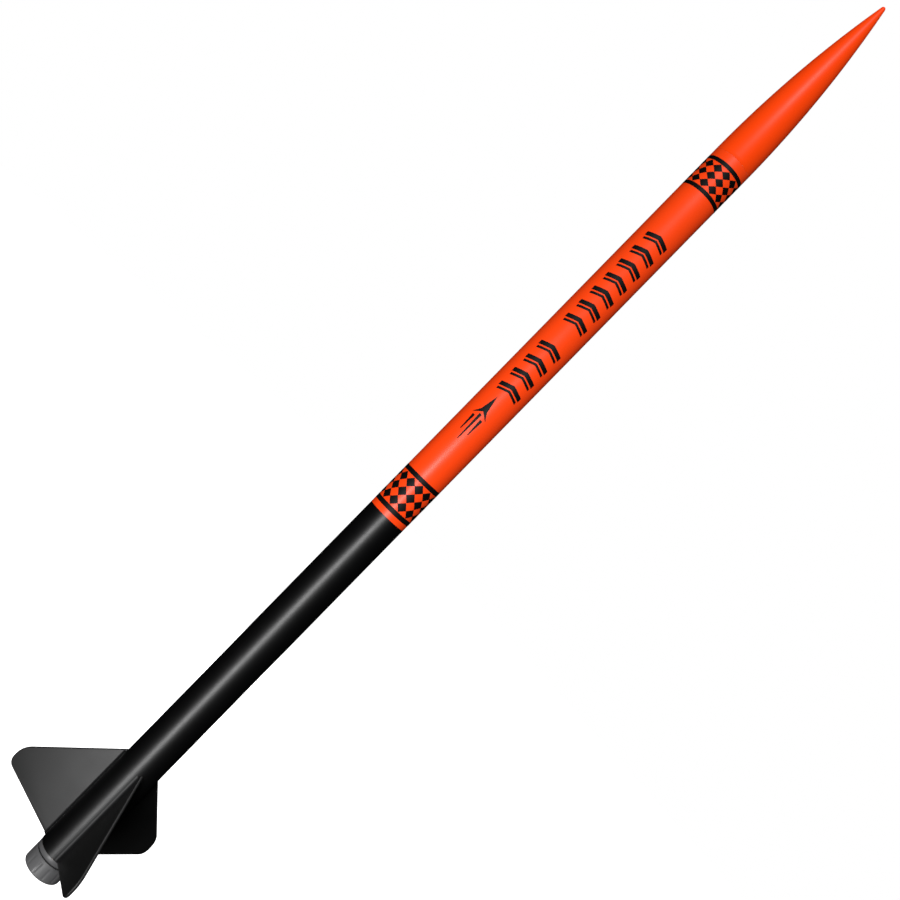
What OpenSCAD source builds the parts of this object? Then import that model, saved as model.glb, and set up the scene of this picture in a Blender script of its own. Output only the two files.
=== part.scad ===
// Model rocket with a long ogive nose, two joined paper tubes, three swept fins
// and a screw-on motor retainer. Millimetres. +Z runs up the axis to the nose
// tip, and the origin is on the axis at the aft face of the retainer cap.

/* [Body tubes] */
// Outside diameter of both body tubes
tube_od = 41.6; // [38:0.1:56]
// Wall of the spiral-wound tubes
tube_wall = 0.53; // [0.4:0.01:1]
// Length of the aft tube
lower_tube_len = 457.2; // [380:0.1:560]
// Length of the forward tube
upper_tube_len = 457.2; // [380:0.1:560]
// Length of the coupler inside the joint
coupler_len = 76; // [50:1:100]
// Wall of the coupler
coupler_wall = 1; // [0.6:0.1:2]
// Distance from the aft tube's front end down to the black paint
paint_drop = 10.8; // [8:0.1:30]

/* [Nose cone] */
// Exposed length of the nose
nose_len = 210; // [170:1:260]
// How much longer the full ogive is than the exposed nose
ogive_extra = 10; // [0:1:30]
// Radius of the rounded tip
nose_tip_r = 2.8; // [2:0.1:4]
// Wall of the moulded nose and its shoulder
nose_wall = 1.3; // [0.9:0.1:2]
// Length of the shoulder that slides into the tube
shoulder_len = 38; // [25:1:50]
// Radial gap round the shoulder
shoulder_gap = 0.15; // [0.1:0.01:0.3]

/* [Fins] */
// Length of the fin along the tube
fin_root_chord = 114; // [95:1:137]
// Length of the outer edge
fin_tip_chord = 19; // [18:1:30]
// Reach of the fin beyond the tube
fin_span = 77; // [64:1:92]
// How far the trailing edge rises from root to tip
fin_rise = 19.2; // [10:0.1:25]
// Thickness of the fin board
fin_t = 3.2; // [2.4:0.1:4]
// Radius of the front tip corner
fin_front_r = 22; // [6:1:24]
// Radius of the rear tip corner
fin_rear_r = 9; // [3:1:10]
// Gap between the through-wall tab and what it meets
fin_gap = 0.1; // [0.05:0.01:0.3]
// Radius of the glue fillets along the fin roots
fillet_r = 4; // [2:0.5:6]

/* [Motor mount] */
// Outside diameter of the motor
motor_od = 29; // [24:1:29]
// Length of the motor
motor_len = 114; // [95:1:124]
// Radial gap between the motor and its tube
motor_gap = 0.1; // [0.05:0.01:0.3]
// Wall of the motor tube
motor_tube_wall = 0.8; // [0.6:0.1:1.5]
// How far the motor tube runs on past the forward ring
motor_tube_overhang = 15; // [10:1:30]
// Thickness of each centering ring
ring_t = 3.2; // [2:0.1:5]
// Length of the thrust ring ahead of the motor
thrust_ring_len = 6; // [4:1:10]

/* [Motor retainer] */
// Distance from the tube's aft end to the cap's aft face
retainer_reach = 24; // [23:1:30]
// Length of the flange that butts on the tube
flange_len = 5; // [3:0.5:6]
// Gap between the flange and the front of the cap
cap_front_gap = 2; // [1:0.5:3]
// Thickness of the cap's aft lip
lip_t = 2.2; // [1.5:0.1:4]
// How far the cap's lip reaches in under the motor
lip_overlap = 1.8; // [1:0.1:3]
// Wall of the retainer's threaded sleeve
sleeve_wall = 1.6; // [1.2:0.1:2.4]
// Wall of the cap
cap_wall = 2.4; // [1.5:0.1:3]
// Number of finger grooves round the cap
grip_count = 12; // [6:1:18]

/* [Launch lugs] */
// Inside diameter of the launch lugs
lug_id = 6.8; // [5:0.1:8]
// Wall of the launch lugs
lug_wall = 0.5; // [0.4:0.1:1]
// Length of each launch lug
lug_len = 38; // [25:1:60]
// Height of the lower lug's aft end
lower_lug_z = 60; // [30:1:90]
// Height of the upper lug's aft end
upper_lug_z = 520; // [500:1:600]
// Direction of the lugs round the tube, in degrees
lug_angle = 150; // [145:1:155]

/* [Decals] */
// Thickness of the decal film
film_t = 0.06; // [0.04:0.01:0.1]
// Width of the band nearest the nose
upper_band_w = 36.5; // [30:0.5:45]
// Distance from the nose seam to the upper band
upper_band_drop = 9; // [3:0.5:12]
// Width of each black line of the band nearest the nose
upper_band_line = 4.2; // [3:0.1:6]
// Width of the band over the tube joint
lower_band_w = 44; // [35:0.5:55]
// Gap between the lower band and the black paint
lower_band_gap = 6; // [3:0.5:8]
// Width of each black line of the band over the tube joint
lower_band_line = 4.8; // [3:0.1:6]
// Length of each mark in the row on the forward tube
mark_len = 12.6; // [8:0.1:15]
// Distance from one mark to the next
mark_pitch = 17.8; // [16:0.1:19]
// Distance from the nose seam to the first mark
mark_drop = 101; // [80:1:110]
// Angle that the marks cover round the tube
mark_arc = 80; // [60:1:100]
// Direction of the row of marks round the tube, in degrees
mark_angle = 312; // [300:1:320]
// Length of the longer mark aft of the row
arrow_len = 54; // [30:1:60]
// Angle that the longer mark covers round the tube
arrow_arc = 50; // [30:1:60]
// Direction of the longer mark round the tube, in degrees
arrow_angle = 299; // [290:1:320]

/* [Recovery gear] */
// Room between the rolled parachute and the tube
chute_gap = 4.3; // [4.2:0.1:6]
// Length of the rolled parachute
chute_len = 110; // [90:1:140]
// Length of the plug of wadding
wadding_len = 40; // [25:1:60]
// Length of the folded stretch of shock cord under the nose
fold_len = 74; // [50:1:90]
// Width of the elastic shock cord
cord_w = 6.4; // [4:0.1:8]
// Length of the folded paper anchor
anchor_len = 38; // [25:1:45]

/* [Hidden] */
$fn = 96;
glue = 0.05;              // gap left where two pieces are glued
tube_r = tube_od / 2;
bore_r = tube_r - tube_wall;
fit_r = bore_r - glue;    // radius of what is glued inside a body tube

lower_z0 = retainer_reach;
joint_z = lower_z0 + lower_tube_len;
nose_z = joint_z + upper_tube_len;
paint_len = lower_tube_len - paint_drop;
paint_z = lower_z0 + paint_len;

motor_r = motor_od / 2;
nozzle_opening_r = motor_r - lip_overlap;
mount_in_r = motor_r + motor_gap;
mount_r = mount_in_r + motor_tube_wall;
// From the cap's lip to the aft end of the retainer's sleeve
sleeve_lift = 1.8;
motor_z0 = lip_t + glue;
motor_z1 = motor_z0 + motor_len;
sleeve_z0 = lip_t + sleeve_lift;
casing_wall = 3;
motor_in_r = motor_r - casing_wall - glue;
nozzle_len = 14;
grain_len = motor_len * 0.55;
delay_len = motor_len * 0.15;
charge_len = motor_len * 0.06;
end_cap_len = 4;
grain_z = motor_z0 + nozzle_len + glue;
delay_z = grain_z + grain_len + glue;
charge_z = delay_z + delay_len + glue;

fin_count = 3;
aft_ring_z = lower_z0 + glue;
// From the fin's front end down to the forward ring
ring_inset = 7;
// Free length at the aft and the forward end of the fin's tab
tab_clear = [3, 2];
fwd_ring_z = lower_z0 + fin_root_chord - ring_inset;
tab_z0 = aft_ring_z + ring_t + tab_clear[0];
tab_z1 = fwd_ring_z - tab_clear[1];
motor_tube_len = fwd_ring_z + ring_t + motor_tube_overhang - sleeve_z0;

flange_step = 0.3;
flange_r = tube_r - flange_step;
sleeve_in_r = mount_r + glue;
sleeve_r = sleeve_in_r + sleeve_wall;
// Room between the sleeve and the cap for their threads
thread_gap = 0.9;
cap_in_r = sleeve_r + thread_gap;
cap_r = cap_in_r + cap_wall;
cap_z1 = lower_z0 - flange_len - cap_front_gap;

lug_in_r = lug_id / 2;
lug_r = lug_in_r + lug_wall;
lug_axis_r = tube_r + lug_r + glue;

shoulder_r = bore_r - shoulder_gap;
shoulder_z0 = nose_z - shoulder_len;
plug_t = 2.4;
loop_r = 6;
loop_wire = 1.5;
loop_z = shoulder_z0 + plug_t - loop_r;

loop_low = loop_z - loop_r - loop_wire;

chute_r = bore_r - chute_gap;
fold_w = 22;
fold_z = loop_low - fold_len;
// Free length between the cord, the canopy and the wadding
bay_gap = [4, 3];
chute_z = fold_z - bay_gap[0] - chute_len;
wadding_z = chute_z - bay_gap[1] - wadding_len;
wrap_z = chute_z + chute_len * 0.35;
wrap_len = chute_len * 0.3;
wrap_t = 1.6;
wrap_r = chute_r + wrap_t;
lines_r = 1.5;
lines_x = chute_r + lines_r + 0.4;
anchor_z = fold_z + 6;
anchor_t = 1.6;
anchor_half = 22;

upper_band_z = nose_z - upper_band_drop - upper_band_w;
lower_band_z = paint_z + lower_band_gap;
mark_slots = [0, 1, 2, 3, 4, 5, 6, 8, 9, 10, 11];
arrow_z = nose_z - mark_drop - 12 * mark_pitch - arrow_len;
film_r0 = tube_r + 0.01;
film_r1 = film_r0 + film_t;

// Points along an arc about c
function arc(c, r, a0, a1, n = 10) =
    [for (i = [0:n]) c + r * [cos(a0 + (a1 - a0) * i / n), sin(a0 + (a1 - a0) * i / n)]];

// Centre of a circle of radius r that touches the two edges that meet at p,
// where u and v are unit vectors from p along those edges
function corner_centre(p, u, v, r) = p + (u + v) / norm(u + v) * r / sin(acos(u * v) / 2);

function unit(v) = v / norm(v);
function heading(v) = atan2(v[1], v[0]);

// A hollow round wall from height z
module sleeve(r, wall, z, len) {
    translate([0, 0, z]) difference() {
        cylinder(r = r, h = len);
        translate([0, 0, -1]) cylinder(r = r - wall, h = len + 2);
    }
}

// A wedge of the circle, for cutting a film to part of the way round
module sector(a, half, reach) {
    steps = 8;
    polygon(concat([[0, 0]], [for (i = [-steps:steps])
        reach * [cos(a + half * i / steps), sin(a + half * i / steps)]]));
}

module fin_slots() {
    for (k = [0:fin_count - 1]) rotate(90 + k * 360 / fin_count)
        translate([0, -fin_t / 2 - fin_gap, tab_z0 - fin_gap])
            cube([tube_r + 5, fin_t + 2 * fin_gap, tab_z1 - tab_z0 + 2 * fin_gap]);
}

module lower_body_tube() {
    difference() {
        union() {
            color("black") sleeve(tube_r, tube_wall, lower_z0, paint_len);
            color("orangered")
                sleeve(tube_r, tube_wall, paint_z, lower_tube_len - paint_len);
        }
        fin_slots();
    }
}

module upper_body_tube() {
    color("orangered")
        sleeve(tube_r, tube_wall, joint_z + glue, upper_tube_len - 2 * glue);
}

module tube_coupler() {
    color("tan") sleeve(fit_r, coupler_wall, joint_z - coupler_len / 2, coupler_len);
}

module motor_tube() {
    color("tan") sleeve(mount_r, motor_tube_wall, sleeve_z0, motor_tube_len);
}

module centering_ring(z) {
    color("burlywood") translate([0, 0, z]) difference() {
        cylinder(r = fit_r, h = ring_t);
        translate([0, 0, -1]) cylinder(r = mount_r + glue, h = ring_t + 2);
    }
}

module thrust_ring() {
    color("burlywood") sleeve(mount_in_r - glue, 2.4, motor_z1 + glue, thrust_ring_len);
}

module retainer_body() {
    color("dimgray") {
        difference() {
            union() {
                translate([0, 0, lower_z0 - flange_len]) cylinder(r = flange_r, h = flange_len - glue);
                translate([0, 0, sleeve_z0])
                    cylinder(r = sleeve_r, h = lower_z0 - flange_len - sleeve_z0 + 1);
            }
            translate([0, 0, -1]) cylinder(r = sleeve_in_r, h = retainer_reach + 2);
        }
    }
}

// Fin outline in [distance from axis, height], with its through-wall tab
function fin_outline() =
    let (root_a = [tube_r + glue, lower_z0 + 0.5], root_f = [tube_r + glue, lower_z0 + fin_root_chord],
        tip_a = [tube_r + fin_span, lower_z0 + fin_rise],
        tip_f = tip_a + [0, fin_tip_chord],
        te = unit(root_a - tip_a), up = [0, 1], le = unit(root_f - tip_f),
        rear_c = corner_centre(tip_a, te, up, fin_rear_r),
        front_c = corner_centre(tip_f, -up, le, fin_front_r),
        tab_r = mount_r + fin_gap)
    concat([root_a], arc(rear_c, fin_rear_r, heading(te) + 90, 0),
        arc(front_c, fin_front_r, 0, heading(le) - 90), [root_f],
        [[tube_r + glue, tab_z1], [tab_r, tab_z1], [tab_r, tab_z0], [tube_r + glue, tab_z0]]);

module fin(k) {
    color("black") rotate(90 + k * 360 / fin_count) rotate([90, 0, 0])
        translate([0, 0, -fin_t / 2]) linear_extrude(fin_t) polygon(fin_outline());
}

// Outline of one bead of glue in the corner between the tube and a fin. Its
// hollow face is an arc that runs out towards the fin and towards the tube.
function bead_outline() =
    let (face_y = fin_t / 2 + glue, seat_r = tube_r + glue, run_out = 9,
        c_y = face_y + fillet_r, c = [sqrt(pow(seat_r + fillet_r, 2) - c_y * c_y), c_y],
        hollow = arc(c, fillet_r, -90 - run_out, heading(c) - 180 + run_out, 8),
        tube_end = heading(hollow[8]), tube_start = asin(face_y / seat_r))
    concat([[hollow[0][0], face_y]], hollow, arc([0, 0], seat_r, tube_end, tube_start, 4));

module fin_fillets() {
    color("black") for (k = [0:fin_count - 1], side = [0, 1])
        rotate(90 + k * 360 / fin_count) mirror([0, side, 0]) translate([0, 0, lower_z0 + 1])
            linear_extrude(fin_root_chord - fillet_r) polygon(bead_outline());
}

module launch_lug(z) {
    color("black") rotate(lug_angle) translate([lug_axis_r, 0, 0]) sleeve(lug_r, lug_wall, z, lug_len);
}

// A ring of film between two heights
module film_ring(z, len) {
    sleeve(film_r1, film_t, z, len);
}

// A checked band: two black lines with an orange zone between them
module band(z, w, line) {
    color("black") film_ring(z, line);
    color("orangered") film_ring(z + line, w - 2 * line);
    color("black") film_ring(z + w - line, line);
}

// A patch of film on the tube
module film_patch(z, len, arc, angle) {
    translate([0, 0, z]) linear_extrude(len) intersection() {
        difference() {
            circle(r = film_r1);
            circle(r = film_r0);
        }
        sector(angle, arc / 2, tube_r * 1.5);
    }
}

// Eleven marks in two groups, and a longer one aft of them
module marking_decal() {
    color("black") {
        for (i = mark_slots)
            film_patch(nose_z - mark_drop - i * mark_pitch - mark_len, mark_len, mark_arc, mark_angle);
        film_patch(arrow_z, arrow_len, arrow_arc, arrow_angle);
    }
}

// Folded paper glued to the inside of the tube
module shock_cord_anchor() {
    color("antiquewhite") translate([0, 0, anchor_z]) linear_extrude(anchor_len) intersection() {
        difference() {
            circle(r = fit_r);
            circle(r = fit_r - anchor_t);
        }
        sector(lug_angle, anchor_half, tube_r * 1.5);
    }
}

module recovery_wadding() {
    color("palegreen") translate([0, 0, wadding_z]) cylinder(r = bore_r - 1, h = wadding_len);
}

module parachute_canopy() {
    color("gold") translate([0, 0, chute_z]) cylinder(r = chute_r, h = chute_len);
}

// A straight run of the bundled lines
module lines_run(a, b) {
    hull() for (p = [a, b]) translate(p) sphere(r = lines_r, $fn = 16);
}

// The lines are wound round the rolled canopy, and their ends run up to the nose loop
module shroud_lines() {
    side = [lines_x, 0, wrap_z + wrap_len - 1];
    over = [lines_x, 0, fold_z + 2];
    end = [4, 0, loop_low - lines_r - 0.3];
    color("white") {
        sleeve(wrap_r, wrap_r - chute_r - 0.1, wrap_z, wrap_len);
        rotate(lug_angle + 90) {
            lines_run(side, over);
            lines_run(over, end);
        }
    }
}

// The cord is folded to and fro in one stack beside the lines
module shock_cord() {
    color("ivory") rotate(lug_angle + 90) translate([-cord_w - 1, -fold_w / 2, fold_z])
        cube([cord_w, fold_w, fold_len - 1]);
}

// Half outline of the nose's outside from its seam to its tip
function ogive_r(h, base, full) =
    let (rho = (base * base + full * full) / (2 * base))
    sqrt(rho * rho - h * h) + base - rho;

function nose_profile(base, full, top, tip) =
    let (steps = 36)
    concat([for (i = [0:steps]) [ogive_r(top * i / steps, base, full), top * i / steps]],
        arc([0, top], tip, 0, 90, 8));

module nose_cone() {
    full = nose_len + ogive_extra;
    outer_top = nose_len - nose_tip_r;
    inner_top = nose_len * 0.9;
    color("orangered") difference() {
        union() {
            translate([0, 0, nose_z]) rotate_extrude() polygon(concat([[0, 0]],
                nose_profile(tube_r, full, outer_top, ogive_r(outer_top, tube_r, full))));
            translate([0, 0, shoulder_z0]) cylinder(r = shoulder_r, h = shoulder_len + 1);
        }
        translate([0, 0, shoulder_z0 - 1]) cylinder(r = shoulder_r - nose_wall, h = shoulder_len + 2);
        translate([0, 0, nose_z + 0.5]) rotate_extrude() polygon(concat([[0, 0]],
            nose_profile(shoulder_r - nose_wall, full * 0.97, inner_top,
                ogive_r(inner_top, shoulder_r - nose_wall, full * 0.97))));
    }
}

module nose_base_plug() {
    color("orangered") {
        difference() {
            translate([0, 0, shoulder_z0]) cylinder(r = shoulder_r - nose_wall - glue, h = plug_t + 4);
            translate([0, 0, shoulder_z0 + plug_t])
                cylinder(r = shoulder_r - nose_wall - glue - 1.5, h = 5);
        }
        difference() {
            translate([0, 0, loop_z]) rotate([90, 0, 0]) rotate_extrude()
                translate([loop_r, 0]) circle(r = loop_wire, $fn = 32);
            translate([-10, -10, shoulder_z0 + plug_t - 0.5]) cube([20, 20, 20]);
        }
    }
}

module motor_casing() {
    color("sienna") sleeve(motor_r, casing_wall, motor_z0, motor_len);
}

module motor_nozzle() {
    throat_r = 3;
    exit_r = 7;
    color("gray") translate([0, 0, motor_z0]) rotate_extrude() polygon([
        [exit_r, 0], [motor_in_r, 0], [motor_in_r, nozzle_len], [throat_r, nozzle_len],
        [throat_r, nozzle_len * 0.7]]);
}

module propellant_grain() {
    color("dimgray") sleeve(motor_in_r, motor_in_r - 3, grain_z, grain_len);
}

module delay_grain() {
    color("silver") translate([0, 0, delay_z]) cylinder(r = motor_in_r, h = delay_len);
}

module ejection_charge() {
    color("black") translate([0, 0, charge_z]) cylinder(r = motor_in_r, h = charge_len);
}

module motor_end_cap() {
    color("white") translate([0, 0, charge_z + charge_len + glue])
        cylinder(r = motor_in_r, h = end_cap_len);
}

module retainer_cap() {
    chamfer = 1.6;
    groove_r = 1.1;
    color("gray") difference() {
        rotate_extrude() polygon([[0, 0], [cap_r - 0.6, 0], [cap_r, 0.6],
            [cap_r, cap_z1 - chamfer], [cap_r - chamfer * 0.6, cap_z1], [0, cap_z1]]);
        translate([0, 0, lip_t]) cylinder(r = cap_in_r, h = cap_z1);
        translate([0, 0, -1]) cylinder(r = nozzle_opening_r, h = lip_t + 2);
        for (k = [0:grip_count - 1]) rotate(k * 360 / grip_count)
            translate([cap_r + groove_r * 0.45, 0, -1]) cylinder(r = groove_r, h = cap_z1 - 2, $fn = 24);
    }
}

lower_body_tube();
upper_body_tube();
tube_coupler();
motor_tube();
centering_ring(aft_ring_z);  // aft_centering_ring
centering_ring(fwd_ring_z);  // forward_centering_ring
thrust_ring();
retainer_body();
fin(0);  // fin_1
fin(1);  // fin_2
fin(2);  // fin_3
fin_fillets();
launch_lug(lower_lug_z);  // lower_launch_lug
launch_lug(upper_lug_z);  // upper_launch_lug
band(upper_band_z, upper_band_w, upper_band_line);  // upper_band_decal
band(lower_band_z, lower_band_w, lower_band_line);  // lower_band_decal
marking_decal();
shock_cord_anchor();
recovery_wadding();
parachute_canopy();
shroud_lines();
shock_cord();
nose_cone();
nose_base_plug();
motor_casing();
motor_nozzle();
propellant_grain();
delay_grain();
ejection_charge();
motor_end_cap();
retainer_cap();
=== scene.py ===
# %% [markdown]
# # A model rocket, from its frame to its finish
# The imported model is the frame: every tube, fin and joint has its place already. Each step
# below dresses one piece of the rocket, and takes its place and size from the frame.

# %% Load the frame
import math
import random

import bmesh
import bpy
from mathutils import Matrix, Vector


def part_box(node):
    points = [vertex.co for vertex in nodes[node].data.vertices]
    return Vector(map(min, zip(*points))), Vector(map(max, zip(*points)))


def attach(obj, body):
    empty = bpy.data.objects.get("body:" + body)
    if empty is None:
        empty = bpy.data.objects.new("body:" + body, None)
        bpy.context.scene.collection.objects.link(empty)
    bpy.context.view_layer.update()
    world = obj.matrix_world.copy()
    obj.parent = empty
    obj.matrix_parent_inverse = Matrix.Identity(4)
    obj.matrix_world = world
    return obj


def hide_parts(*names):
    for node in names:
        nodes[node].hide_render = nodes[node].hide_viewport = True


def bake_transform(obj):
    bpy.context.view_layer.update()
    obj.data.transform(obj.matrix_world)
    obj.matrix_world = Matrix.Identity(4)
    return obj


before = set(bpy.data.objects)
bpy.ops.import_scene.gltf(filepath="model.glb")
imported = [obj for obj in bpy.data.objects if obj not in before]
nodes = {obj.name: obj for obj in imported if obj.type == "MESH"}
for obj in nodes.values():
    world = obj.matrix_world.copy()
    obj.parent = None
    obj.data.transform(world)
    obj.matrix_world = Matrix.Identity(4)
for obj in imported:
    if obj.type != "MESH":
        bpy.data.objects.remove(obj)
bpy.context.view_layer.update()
MM = 0.001


def low(node):
    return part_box(node)[0]


def high(node):
    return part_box(node)[1]


def half_width(node):
    """Half the width of a node along X, which is the radius of a round one."""
    return (high(node).x - low(node).x) / 2


TUBE_R = half_width("upper_body_tube")
TUBE_WALL = TUBE_R - half_width("tube_coupler") - 0.05 * MM
AFT_Z = low("lower_body_tube").z
JOINT_Z = high("lower_body_tube").z
SEAM_Z = high("upper_body_tube").z
TIP_Z = high("nose_cone").z
print("tube radius", round(TUBE_R, 5), "length", round(TIP_Z, 4))

# %% [markdown]
# ## Camera
# The rocket leans across the picture, but it stands upright in its own frame, so the camera is
# rolled instead. A camera has its own right and up directions: giving it a turned pair of them
# tips the picture without moving the model.

# %% Camera
VIEW_ANGLE = math.radians(40.5)
ROLL = math.radians(44.38)
DISTANCE = 1.035
AIM_Z = 0.5569
AXIS_OFFSET = 0.00114
SENSOR_MM, LENS_MM = 36, 43.44

camera_data = bpy.data.cameras.new("camera")
camera_data.sensor_width, camera_data.lens = SENSOR_MM, LENS_MM
camera_data.clip_start, camera_data.clip_end = 0.01, 50
camera = bpy.data.objects.new("camera", camera_data)
bpy.context.scene.collection.objects.link(camera)
back = Vector((math.sin(VIEW_ANGLE), -math.cos(VIEW_ANGLE), 0))
across = Vector((math.cos(VIEW_ANGLE), math.sin(VIEW_ANGLE), 0))
right = across * math.cos(ROLL) + Vector((0, 0, math.sin(ROLL)))
up = Vector((0, 0, math.cos(ROLL))) - across * math.sin(ROLL)
turn = Matrix((right, up, back)).transposed()
camera.matrix_world = Matrix.Translation(
    back * DISTANCE - across * AXIS_OFFSET + Vector((0, 0, AIM_Z))
) @ turn.to_4x4()
bpy.context.scene.camera = camera
print("camera at", [round(v, 3) for v in camera.location])

# %% [markdown]
# ## Room and light
# Gloss paint shows what is around it. A long soft lamp that stands up beside the camera, in line
# with the tube, draws one even streak down it, and the rest of the room stays dark in
# reflections, so the black keeps its depth. The lamp ends below the nose, so the streak fades
# out there, and a small lamp above lights the nose from where it draws no streak. Behind the
# rocket one lamp gives plain light with no shine, and a long dim strip gives shine alone, so the
# far side has a soft streak too. The world answers each kind of ray: white for the eye, grey for
# matt surfaces.

# %% Helpers for node trees
def put(tree, kind, inputs=None, **settings):
    """Adds a node, sets its own settings, and gives its inputs a value or a link."""
    made = tree.nodes.new(kind)
    for key, value in settings.items():
        setattr(made, key, value)
    for key, value in (inputs or {}).items():
        if isinstance(value, bpy.types.NodeSocket):
            tree.links.new(value, made.inputs[key])
        else:
            made.inputs[key].default_value = value
    return made


def math_node(tree, operation, a, b=0.0):
    return put(tree, "ShaderNodeMath", {0: a, 1: b}, operation=operation).outputs[0]


def noise(tree, point, scale, detail):
    return put(tree, "ShaderNodeTexNoise", {"Vector": point, "Scale": scale, "Detail": detail}).outputs[0]


def spread(tree, value, from_low, from_high, to_low, to_high, **settings):
    """Stretches a value from one range to another."""
    ends = {0: value, 1: from_low, 2: from_high, 3: to_low, 4: to_high}
    return put(tree, "ShaderNodeMapRange", ends, **settings).outputs[0]


# %% World and lamps
scene = bpy.context.scene
scene.view_settings.view_transform = "Standard"
EYE_LEVEL, FILL_LEVEL, GLOSS_LEVEL = 1.0, 0.16, 0.001

world = bpy.data.worlds.new("room")
scene.world = world
world.use_nodes = True
tree = world.node_tree
tree.nodes.clear()
ray = put(tree, "ShaderNodeLightPath")
seen = math_node(tree, "MULTIPLY", ray.outputs["Is Camera Ray"], EYE_LEVEL)
matt = math_node(tree, "MULTIPLY", ray.outputs["Is Diffuse Ray"], FILL_LEVEL)
level = math_node(tree, "MAXIMUM", math_node(tree, "MAXIMUM", seen, matt), GLOSS_LEVEL)
room = put(tree, "ShaderNodeBackground", {"Color": (1, 1, 1, 1), "Strength": level})
put(tree, "ShaderNodeOutputWorld", {"Surface": room.outputs[0]})


def lamp(name, place, aim, width, height, power):
    data = bpy.data.lights.new(name, "AREA")
    data.shape = "RECTANGLE"
    data.size, data.size_y, data.energy = width, height, power
    made = bpy.data.objects.new(name, data)
    made.location = place
    made.rotation_mode = "QUATERNION"
    made.rotation_quaternion = (aim - place).to_track_quat("-Z", "Y")
    made.visible_camera = False
    scene.collection.objects.link(made)
    return made


LAMP_SHIFT = math.radians(8)
LAMP_FAR, LAMP_WIDE, LAMP_LONG, LAMP_MIDDLE = 1.05, 0.22, 1.0, 0.05
front_way = back * math.cos(LAMP_SHIFT) - across * math.sin(LAMP_SHIFT)
level_spot = Vector((0, 0, LAMP_MIDDLE))
lamp("front_lamp", front_way * LAMP_FAR + level_spot, level_spot, LAMP_WIDE, LAMP_LONG, 14)
nose_spot = front_way * 1.15 + Vector((0, 0, 1.9))
lamp("nose_lamp", nose_spot, Vector((0, 0, 0.95)), 0.3, 0.3, 15)
REAR_FAR, REAR_WIDE = 1.6, 0.24
rear_spot = -back * REAR_FAR + Vector((0, 0, 0.8))
rear_lamp = lamp("rear_lamp", rear_spot, Vector((0, 0, 0.5)), REAR_WIDE, 1.0, 30)
rear_lamp.visible_glossy = False
shine_aim = Vector((0, 0, 0.25))
rear_shine = lamp("rear_shine", shine_aim - back * REAR_FAR, shine_aim, REAR_WIDE, 1.8, 11)
rear_shine.visible_diffuse = False

# %% Floor
FLOOR_Z = -0.12
floor_mesh = bpy.data.meshes.new("floor")
reach = 6.0
floor_mesh.from_pydata(
    [(-reach, -reach, FLOOR_Z), (reach, -reach, FLOOR_Z), (reach, reach, FLOOR_Z), (-reach, reach, FLOOR_Z)],
    [],
    [(0, 1, 2, 3)],
)
floor = bpy.data.objects.new("floor", floor_mesh)
scene.collection.objects.link(floor)
floor.visible_glossy = False
floor.visible_diffuse = False
floor.visible_shadow = False
floor_paper = bpy.data.materials.new("floor_paper")
floor_paper.use_nodes = True
tree = floor_paper.node_tree
tree.nodes.clear()
side = put(tree, "ShaderNodeNewGeometry")
matt = put(tree, "ShaderNodeBsdfDiffuse", {"Color": (0.8, 0.8, 0.8, 1)})
glow = put(tree, "ShaderNodeEmission", {"Color": (1, 1, 1, 1), "Strength": 1.0})
both = put(tree, "ShaderNodeAddShader", {0: matt.outputs[0], 1: glow.outputs[0]})
clear = put(tree, "ShaderNodeBsdfTransparent")
mixed = put(
    tree, "ShaderNodeMixShader",
    {0: side.outputs["Backfacing"], 1: both.outputs[0], 2: clear.outputs[0]},
)
put(tree, "ShaderNodeOutputMaterial", {"Surface": mixed.outputs[0]})
floor_mesh.materials.append(floor_paper)

# %% [markdown]
# ## Shared surface effects
# Most finishes here need the same few things: a fine grain that varies the gloss, the faint
# spiral line of wound paper, and rubbed patches where hands and benches touch. Each is built
# once as a node group with named sockets, and every material sets its own values on it.

# %% Node groups
def new_group(name, inputs, outputs):
    group = bpy.data.node_groups.new(name, "ShaderNodeTree")
    for title, kind, value in inputs:
        socket = group.interface.new_socket(title, in_out="INPUT", socket_type=kind)
        if value is not None:
            socket.default_value = value
    for title, kind in outputs:
        group.interface.new_socket(title, in_out="OUTPUT", socket_type=kind)
    return group, group.nodes.new("NodeGroupInput"), group.nodes.new("NodeGroupOutput")


FLOAT, VECTOR = "NodeSocketFloat", "NodeSocketVector"


def build_skin_group():
    """Fine noise: a varying roughness and a small height."""
    group, given, result = new_group(
        "skin_grain",
        [("Point", VECTOR, None), ("Scale", FLOAT, 900.0), ("Smooth", FLOAT, 0.3), ("Rough", FLOAT, 0.4)],
        [("Roughness", FLOAT), ("Height", FLOAT)],
    )
    fine = noise(group, given.outputs[0], given.outputs[1], 3.0)
    broad_scale = math_node(group, "MULTIPLY", given.outputs[1], 0.06)
    broad = noise(group, given.outputs[0], broad_scale, 2.0)
    both = math_node(group, "MULTIPLY", fine, broad)
    rough = spread(group, both, 0.12, 0.42, given.outputs[2], given.outputs[3])
    group.links.new(rough, result.inputs[0])
    group.links.new(fine, result.inputs[1])
    return group


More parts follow.
